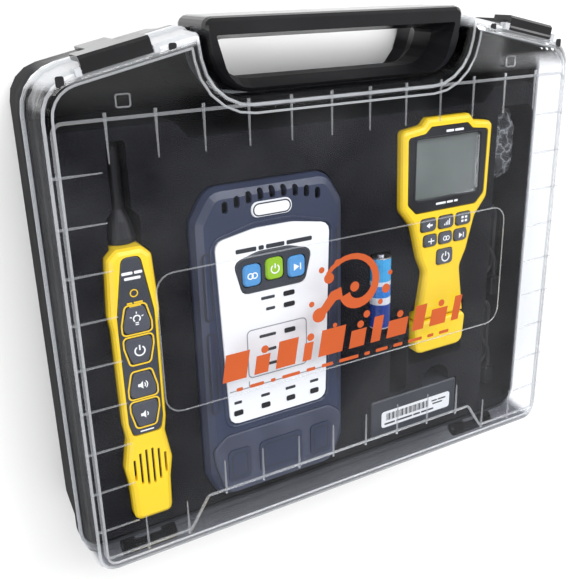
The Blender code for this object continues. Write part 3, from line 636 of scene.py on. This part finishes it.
def make_stage():
    bm = bmesh.new()
    bmesh.ops.create_grid(bm, x_segments=8, y_segments=8, size=3.0)
    mesh = bpy.data.meshes.new("floor")
    bm.to_mesh(mesh)
    bm.free()
    floor = bpy.data.objects.new("floor", mesh)
    floor.location = (0.0, 0.0, -0.0005)
    mesh.materials.append(plastic("studio_floor", (0.96, 0.96, 0.96), 0.8, 300.0, 0.01, 0.005, 0.1))
    bpy.context.scene.collection.objects.link(floor)
    world = bpy.data.worlds.new("studio")
    world.use_nodes = True
    sky = world.node_tree.nodes["Background"]
    sky.inputs["Color"].default_value = (1.0, 1.0, 1.0, 1.0)
    sky.inputs["Strength"].default_value = 0.56
    bpy.context.scene.world = world
    make_light("softbox_above", (0.2, 1.4, 1.5), (2.2, 1.0), 36.0)
    make_light("softbox_left", (-1.6, -0.2, 1.5), (1.2, 1.2), 17.0)
    make_light("softbox_right", (1.7, 0.9, 1.3), (1.0, 1.0), 15.0)
    bpy.context.scene.view_settings.view_transform = 'Standard'


make_camera()
make_stage()


# ------------------------------------------------------------------ lid: beads, ribs and print

LID_LOW, LID_HIGH = low_high("lid")
HALF = LID_HIGH.x
LID_FACE = 79.6
BEAD_X = HALF - 7.5
BEAD_TOP = 114.0
BEAD_LOW = -111.0
BEAD_FOOT = -130.0
RIB_PITCH = 25.0


def case_corners():
    return both_sides([(HALF, HINGE_SIDE, 14.0), (HALF, SHOULDER_LOW, 24.0),
                       (RECESS_HALF, SHOULDER_HIGH, 5.0), (RECESS_HALF - 5.0, RECESS_FLOOR, 24.0)])


def bead_path():
    return rounded(both_sides([(99.0, BEAD_LOW, 3.0), (111.0, BEAD_FOOT, 3.0), (BEAD_X, BEAD_FOOT, 4.0),
                               (BEAD_X, BEAD_TOP, 5.0)]))


def lid_beads():
    beads = Relief(LID_FACE - 0.2, 1.0)
    beads.line(bead_path(), 1.7, closed=True, crown=0.5)
    for k in range(1, 13):
        x = -BEAD_X + RIB_PITCH * k
        beads.line([(x, BEAD_TOP + 0.5), (x, BEAD_TOP - 10.0), (x, BEAD_TOP - 21.0)],
                   1.4, crown=0.5, taper=0.4)
        beads.line([(x, BEAD_TOP + 1.0), (x, BEAD_TOP + 3.2)], 1.6, crown=0.4)
        low = BEAD_LOW if abs(x) < 99.0 else BEAD_FOOT
        beads.line([(x, low - 2.5), (x, low + 9.0), (x, low + 20.0)], 1.4, crown=0.5, taper=0.4)
    for k in range(1, 10):
        y = BEAD_TOP - RIB_PITCH * k
        for side in (-1, 1):
            beads.line([(side * (BEAD_X + 3.0), y), (side * (BEAD_X - 9.0), y), (side * (BEAD_X - 21.0), y)],
                       1.4, crown=0.5, taper=0.4)
    beads.piece("lid_beads", LID_BEAD_HIGHLIGHT, "lid")


def lid_lines():
    lines = Relief(LID_FACE - 0.1, 0.45)
    lines.line(box_outline(0.0, -9.0, 240.0, 82.0, 10.0), 0.8, closed=True, crown=0.2)
    for x, y in ((-128.0, 122.0), (116.0, 124.0)):
        lines.line(box_outline(x, y, 7.0, 6.0, 1.0), 0.8, closed=True, crown=0.2)
    lines.piece("lid_lines", LID_BEAD_HIGHLIGHT, "lid")


def lid_rims():
    """Raised rims round the lid's shoulder and along its parting edge, milky white as painted highlight
    lines.
    """
    rims = Relief(LID_FACE - 1.9, 0.9)
    rims.line(rounded(case_corners(), 4.6), 1.6, closed=True, crown=0.4)
    inner = Relief(LID_FACE - 0.5, 0.8)
    inner.line(rounded(case_corners(), 8.6), 1.2, closed=True, crown=0.3)
    lip = Relief(LID_LOW.z + 5.6, 1.5)
    lip.line(rounded(case_corners(), 0.9), 1.9, closed=True, crown=0.5)
    for name, rim in (("lid_rim_outer", rims), ("lid_rim_inner", inner), ("lid_lip", lip)):
        rim.piece(name, LID_RIM_HIGHLIGHT, "lid")
    notches = Relief(LID_FACE - 0.9, 0.3)
    for x, y in ((-156.0, 132.6), (-101.0, 144.2), (101.0, 144.2), (156.0, 132.6)):
        notches.area(box_outline(x, y, 4.0, 5.0, 1.0))
    notches.piece("lid_rim_notches", SATIN_BLACK, "lid")


def lid_print():
    """Orange print on the lid: a signal-wave emblem and a band of slanted bars."""
    ink = Relief(LID_FACE + PRINT_LIFT, 0.06)
    swirl = [Vector((3.0 + r * math.cos(a), 0.0 + r * math.sin(a)))
             for a, r in ((math.radians(-150.0 + 13.0 * i), 8.0 + 0.62 * i) for i in range(24))]
    ink.line(swirl, 7.5, taper=0.35)
    ink.line([(-20.0, -12.0), (-12.0, -3.0), (-6.0, -2.0)], 5.5, taper=1.4)
    for x, y, radius in ((-22.0, -13.0, 4.6), (-15.0, 9.0, 3.4), (-20.0, 15.0, 1.9), (-9.0, 17.5, 2.2),
                         (26.0, -6.0, 3.0), (22.0, -14.0, 1.8), (3.0, 0.0, 3.2), (-27.0, -5.0, 1.8),
                         (29.0, 4.0, 1.6), (-11.0, -22.0, 1.5), (12.0, -20.0, 2.4)):
        ink.dot(x, y, radius)
    slant = 3.0
    widths = (15.0, 9.0, 13.0, 6.0, 17.0, 11.0, 7.0, 15.0, 9.0, 13.0, 6.0)
    at = -86.0
    for i, width in enumerate(widths):
        low, high = (-40.5, -23.5) if i % 2 == 0 else (-40.5, -29.0)
        lean = slant * (high - low) / 17.0
        ink.area([(at, low), (at + width, low), (at + width + lean, high), (at + lean, high)])
        if i % 2 == 1:
            ink.dot(at + width / 2.0 + slant, -25.8, 2.4)
        at += width + 5.0
    ink.words(0.0, -47.0, [4.0, 9.0, 3.0, 12.0, 6.0, 8.0, 14.0, 4.0, 9.0, 7.0, 11.0, 5.0, 8.0], 2.2, 4.6)
    ink.piece("lid_print", INK_ORANGE, "lid")


lid_beads()
lid_lines()
lid_rims()
lid_print()


# ------------------------------------------------------------------ tone probe

def probe_details():
    x, middle, top = middle_top("probe_key_panel")
    frames = Relief(top + PRINT_LIFT - 0.05, 0.3)
    for key in ("light", "power", "volume_up", "volume_down"):
        kx, ky = middle_top("probe_key_" + key)[:2]
        low, high = low_high("probe_key_" + key)
        flip = key in ("power", "volume_down")
        wide = (high.x - low.x) / 2.0 + 0.9
        narrow = wide - 2.6
        tall = (high.y - low.y) / 2.0 + 1.0
        bottom_half, top_half = (narrow, wide) if flip else (wide, narrow)
        corners = [(kx - bottom_half, ky - tall, 2.4), (kx + bottom_half, ky - tall, 2.4),
                   (kx + wide, ky + (2.4 if flip else -2.4), 2.4), (kx + top_half, ky + tall, 2.4),
                   (kx - top_half, ky + tall, 2.4), (kx - wide, ky + (2.4 if flip else -2.4), 2.4)]
        frames.line(rounded(corners), 0.9, closed=True, crown=0.1)
    frames.line(arc(x, middle + 33.0, 2.0, 0.0, 360.0, 18), 0.6, closed=True)
    frames.words(x, middle + 27.5, [3.0, 5.0], 0.9, 0.8)
    frames.words(x, middle + 25.4, [6.5], 0.9, 0.8)
    frames.piece("probe_key_outlines", INK_YELLOW, "probe")
    words = Relief(top + PRINT_LIFT)
    words.words(x, middle + 44.5, [6.0, 4.5], 1.6, 0.9)
    words.words(x, middle + 41.5, [9.0], 1.6, 0.9)
    words.words(x, middle - 51.2, [8.0], 0.8, 0.8)
    words.piece("probe_marks", INK_WHITE, "probe")
    key_icons("probe_key_light", icon_lamp, 3.0, INK_WHITE)
    key_icons("probe_key_power", icon_power, 2.8, INK_WHITE)
    key_icons("probe_key_volume_up", lambda r, kx, ky, s: icon_speaker(r, kx, ky, s, 2), 3.0, INK_WHITE)
    key_icons("probe_key_volume_down", lambda r, kx, ky, s: icon_speaker(r, kx, ky, s, 1), 3.0, INK_WHITE)


probe_details()


# ------------------------------------------------------------------ network tester

def tester_details():
    x, middle, top = middle_top("tester_face_plate")
    low, high = low_high("tester_face_plate")
    dark = Relief(top + PRINT_LIFT)
    dark.words(x, high.y - 12.0, [13.0, 3.4, 12.0, 17.0], 2.6, 1.4)
    for row, length in ((-1.0, 9.0), (-8.2, 6.0)):
        dark.words(x - 1.0 - length / 2.0, row, [length], 1.9)
    for row, length in ((-25.0, 11.0), (-34.5, 8.0), (-44.0, 12.0)):
        dark.words(x - 1.0 - length / 2.0, row, [length], 1.9)
    for place, length in ((-28.0, 5.0), (-9.5, 6.0), (8.0, 7.0), (25.0, 6.0)):
        dark.words(x + place, -64.5, [length], 1.9)
    dark.piece("tester_marks", INK_DARK, "tester")
    grey = Relief(top + PRINT_LIFT)
    grey.line(box_outline(x, -35.0, 40.0, 31.0, 3.0), 0.7, closed=True)
    grey.line([(low.x + 4.0, -56.5), (high.x - 4.0, -56.5)], 0.7)
    grey.line([(x - 20.0, -52.5), (x - 20.0, -56.0)], 0.7)
    grey.piece("tester_lines", INK_GREY, "tester")
    windows = Relief(top + PRINT_LIFT, 0.4)
    for row in (-1.0, -8.2, -25.0, -34.5, -44.0):
        windows.area(box_outline(x + 8.5, row, 7.4, 3.0, 0.9))
    for place in (-28.0, -9.5, 8.0, 25.0):
        windows.area(box_outline(x + place, -71.5, 6.0, 3.4, 0.9))
    windows.piece("tester_windows", SATIN_BLACK, "tester")
    bx, by, badge_top = middle_top("tester_badge")
    badge = Relief(badge_top + PRINT_LIFT)
    badge.line(box_outline(bx, by, 23.4, 7.0, 3.4), 0.8, closed=True)
    badge.piece("tester_badge_marks", INK_DARK, "tester")
    key_icons("tester_key_left", icon_rings, 3.0, INK_WHITE)
    key_icons("tester_key_power", icon_power, 2.6, INK_WHITE)
    key_icons("tester_key_right", icon_next, 3.0, INK_WHITE)
    sx, sy, stop = middle_top("tester_lower_bumper")
    pads = Relief(stop - 0.1, 0.9)
    for place, width in ((-29.0, 15.0), (0.0, 30.0), (29.0, 15.0)):
        pads.area(box_outline(sx + place, sy - 1.0, width, 22.0, 3.0))
    pads.piece("tester_bumper_pads", SLATE_BLUE, "tester")
    # painted shade: dark outlines stand in for the shade inside the pads' grooves
    groove_shade = Relief(stop + 0.82, 0.05)
    for place in (-29.0, 0.0, 29.0):
        groove_shade.line(box_outline(sx + place, sy - 1.0, 10.0 if place else 24.0, 17.0, 2.2), 0.7, closed=True)
    groove_shade.piece("tester_bumper_groove_shade", INK_DARK, "tester")
    frame_top = low_high("tester_front_shell")[1].z
    ridge = Relief(frame_top - 0.2, 0.9)
    ridge_half = [(35.5, -81.0, 7.0), (39.6, 38.5, 8.0), (13.0, 45.5, 30.0)]
    shell_x = middle_top("tester_front_shell")[0]
    ridge.line(rounded(both_sides(ridge_half, shell_x)), 1.6, closed=True, crown=0.4)
    ridge.piece("tester_plate_ridge", SLATE_BLUE, "tester")
    # painted shade: dark outlines stand in for the shade inside the side slots
    slot_shade = Relief(frame_top - 0.1, 0.25)
    for y, length in ((12.0, 40.0), (-42.0, 52.0)):
        slot_shade.line(box_outline(shell_x - 42.6, y, 4.6, length, 2.2), 0.9, closed=True)
    slot_shade.line([(shell_x + 42.6, -68.0), (shell_x + 42.6, 34.0)], 1.1)
    slot_shade.piece("tester_side_slot_shade", INK_DARK, "tester")


tester_details()


# ------------------------------------------------------------------ cable tester

def cable_details():
    x, middle, top = middle_top("cable_bezel")
    low, high = low_high("cable_bezel")
    marks = Relief(top + PRINT_LIFT)
    marks.words(x + 4.0, high.y - 3.4, [6.0, 7.0], 1.5, 1.0)
    marks.words(x, low.y + 4.4, [8.0, 5.0, 3.0], 1.4, 1.0)
    marks.piece("cable_marks", INK_WHITE, "cable_tester")
    rim = Relief(top - 0.1, 0.5)
    gx, gy = middle_top("cable_screen_window")[:2]
    glow, ghigh = low_high("cable_screen_window")
    rim.line(box_outline(gx, gy, ghigh.x - glow.x + 2.0, ghigh.y - glow.y + 2.0, 3.0),
             1.0, closed=True, crown=0.2)
    rim.piece("cable_screen_rim", SATIN_BLACK, "cable_tester")
    icons = (icon_arrow_left, icon_bars, icon_grid, icon_cross, icon_rings, icon_next)
    for number, draw in enumerate(icons, start=1):
        key_icons("cable_key_%d" % number, draw, 2.5, INK_WHITE)
    key_icons("cable_key_power", icon_power, 3.0, INK_WHITE)


def icon_arrow_left(r, x, y, size):
    icon_arrow(r, x, y, size, 180.0)


cable_details()


# ------------------------------------------------------------------ label on the adapter box

def label_marks():
    x, y, top = middle_top("adapter_label")
    marks = Relief(top + PRINT_LIFT, 0.05)
    for i in range(30):
        width = 0.35 + 0.35 * ((i * 7) % 3)
        at = x - 26.0 + i * 1.25
        marks.line([(at, y - 1.0), (at, y + 4.4)], width)
    marks.words(x + 20.0, y + 2.6, [5.0, 7.0], 1.1, 0.8)
    marks.words(x + 19.0, y + 0.2, [9.0], 1.1, 0.8)
    marks.words(x - 6.0, y - 3.6, [9.0, 14.0, 6.0, 11.0], 1.3, 1.0)
    marks.piece("adapter_label_marks", INK_DARK, "adapter_box")


label_marks()


# ------------------------------------------------------------------ leads and bag in the side pocket

LEAD_THICK = 3.0
LEAD_PITCH = 3.2
LEAD_LOOPS = 3
LEAD_BEND = 9.75


def smooth_step(t):
    t = min(1.0, max(0.0, t))
    return t * t * (3.0 - 2.0 * t)


def lead_route(label):
    """Points of a lead: out of its plug, round the hank, then across the top to its clip."""
    low, high = low_high("lead_hank_" + label)
    cx = (low.x + high.x) / 2.0
    cy = (low.y + high.y) / 2.0
    start_y = low_high("lead_plug_" + label)[0].y
    end_y = low_high("lead_clip_" + label)[1].y
    reach = (high.y - low.y) / 2.0 - LEAD_THICK / 2.0 - 0.3 - LEAD_BEND
    z = low.z + 0.3 + LEAD_THICK / 2.0
    points = [Vector((cx - LEAD_BEND, start_y, z)), Vector((cx - LEAD_BEND, start_y - 6.0, z))]
    for loop in range(LEAD_LOOPS):
        for step in range(6):
            points.append(Vector((cx - LEAD_BEND, cy + reach - 2.0 * reach * step / 6.0, z)))
        for step in range(18):
            angle = math.pi + math.pi * step / 18.0
            points.append(Vector((cx + LEAD_BEND * math.cos(angle),
                                  cy - reach + LEAD_BEND * math.sin(angle), z)))
        for step in range(24):
            rise = LEAD_PITCH * smooth_step((step - 3) / 19.0)
            if step < 6:
                spot = (cx + LEAD_BEND, cy - reach + 2.0 * reach * step / 6.0)
            else:
                angle = math.pi * (step - 6) / 18.0
                spot = (cx + LEAD_BEND * math.cos(angle), cy + reach + LEAD_BEND * math.sin(angle))
            points.append(Vector((*spot, z + rise)))
        z += LEAD_PITCH
    span = 2.0 * reach + 3.0
    for step in range(24):
        t = step / 24.0
        points.append(Vector((cx - LEAD_BEND * math.cos(math.pi * t), cy + reach - span * t, z)))
    for step in range(4):
        t = step / 3.0
        points.append(Vector((cx + LEAD_BEND, (cy - reach - 3.0) * (1.0 - t) + end_y * t, z)))
    return points


def make_lead(label):
    points = lead_route(label)
    data = bpy.data.curves.new("lead_" + label, 'CURVE')
    data.dimensions = '3D'
    data.bevel_depth = LEAD_THICK / 2.0 * MM
    data.bevel_resolution = 4
    data.use_fill_caps = True
    spline = data.splines.new('POLY')
    spline.points.add(len(points) - 1)
    for spot, point in zip(spline.points, points):
        spot.co = (*(point * MM), 1.0)
    spline.use_smooth = True
    data.materials.append(LEAD_BLACK)
    lead = bpy.data.objects.new("lead_" + label, data)
    bpy.context.scene.collection.objects.link(lead)
    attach(lead, "case")
    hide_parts("lead_hank_" + label)


def make_bag():
    """Loose film bag: a pillow with pinched ends and creases pressed into it."""
    low, high = low_high("adapter_bag")
    centre = (low + high) / 2.0
    half = (high - low) / 2.0
    bm = bmesh.new()
    bmesh.ops.create_uvsphere(bm, u_segments=56, v_segments=40, radius=1.0)
    for vert in bm.verts:
        way = vert.co.normalized()
        box = [math.copysign(abs(c) ** 0.62, c) for c in way]
        spot = Vector((box[0] * half.x, box[1] * half.y, box[2] * half.z)) * 0.93
        ripple = noise.noise(spot * 0.16) * 1.6 + noise.noise(spot * 0.42 + Vector((7.0, 3.0, 1.0))) * 0.8
        spot += way * ripple
        for axis in range(3):
            spot[axis] = min(half[axis], max(-half[axis], spot[axis]))
        vert.co = (centre + spot) * MM
    bag = make_piece("adapter_bag_film", bm, film_look(), "case", 80.0)
    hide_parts("adapter_bag")


for which in ("upper", "lower"):
    dress(SATIN_BLACK, "lead_plug_" + which, "lead_clip_" + which)
    make_lead(which)
make_bag()
